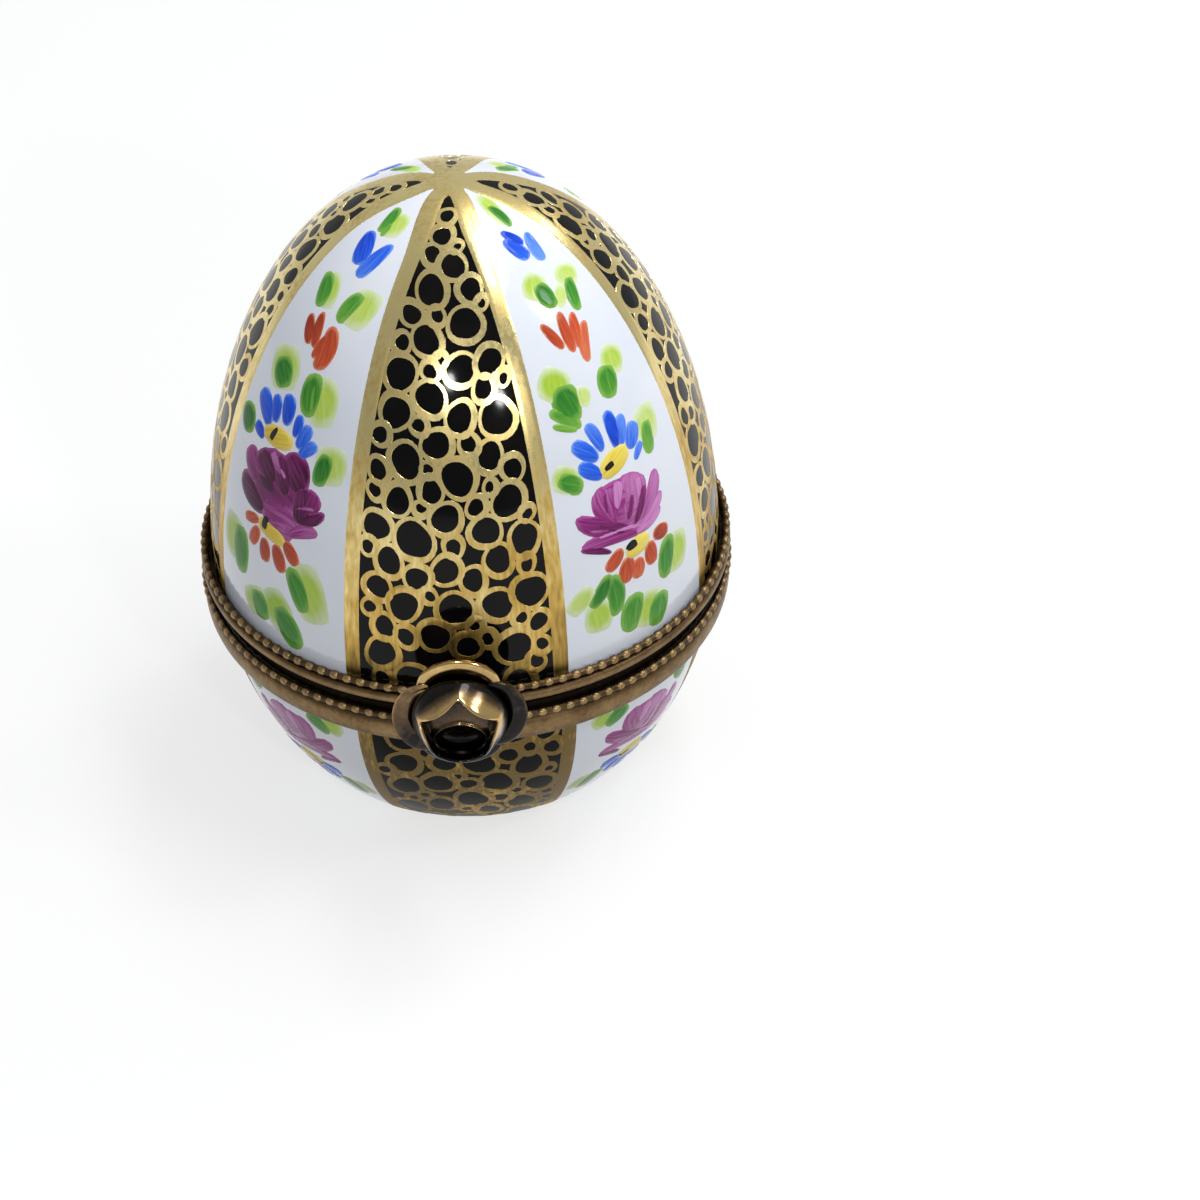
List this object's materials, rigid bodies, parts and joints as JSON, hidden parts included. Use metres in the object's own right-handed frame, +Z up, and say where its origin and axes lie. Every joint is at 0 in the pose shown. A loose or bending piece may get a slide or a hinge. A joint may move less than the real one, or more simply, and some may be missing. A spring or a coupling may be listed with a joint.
{
  "type": "porcelain egg box",
  "caption": "Egg-shaped hinged porcelain box with beaded brass rims, a barrel hinge behind and a rose clasp in front, for keeping a small treasure.",
  "frame": {"origin": "centre of the flat foot, on the egg's axis", "axes": "+Z up through the top of the egg, -Y towards the rose clasp, +Y towards the hinge, +X to the right as seen from the clasp"},
  "size_m": [0.0528, 0.0626, 0.0628],
  "materials": {
    "porcelain": "white glaze, painted and gilded in eight upright panels",
    "rim_brass": "antique brass, dark in the recesses",
    "rose_bronze": "polished dark bronze",
    "pin_steel": "plain drawn wire"
  },
  "bodies": {
    "base": {"base_shell": "porcelain", "base_bezel": "rim_brass", "base_bead_wire": "rim_brass", "hinge_base_leaf": "rim_brass", "hinge_knuckle_1": "rim_brass", "hinge_knuckle_3": "rim_brass", "hinge_knuckle_5": "rim_brass", "hinge_pin": "pin_steel", "clasp_catch": "rim_brass"},
    "lid": {"lid_shell": "porcelain", "lid_bezel": "rim_brass", "lid_bead_wire": "rim_brass", "hinge_lid_leaf": "rim_brass", "hinge_knuckle_2": "rim_brass", "hinge_knuckle_4": "rim_brass", "clasp_hasp": "rim_brass", "clasp_rosette": "rose_bronze", "clasp_bud": "rose_bronze"}
  },
  "joints": [
    {"name": "lid_hinge", "type": "hinge", "parent": "base", "child": "lid", "pos_m": [0, 0.02841, 0.0218], "axis": [-1, 0, 0], "range_deg": [0, 100]}
  ]
}
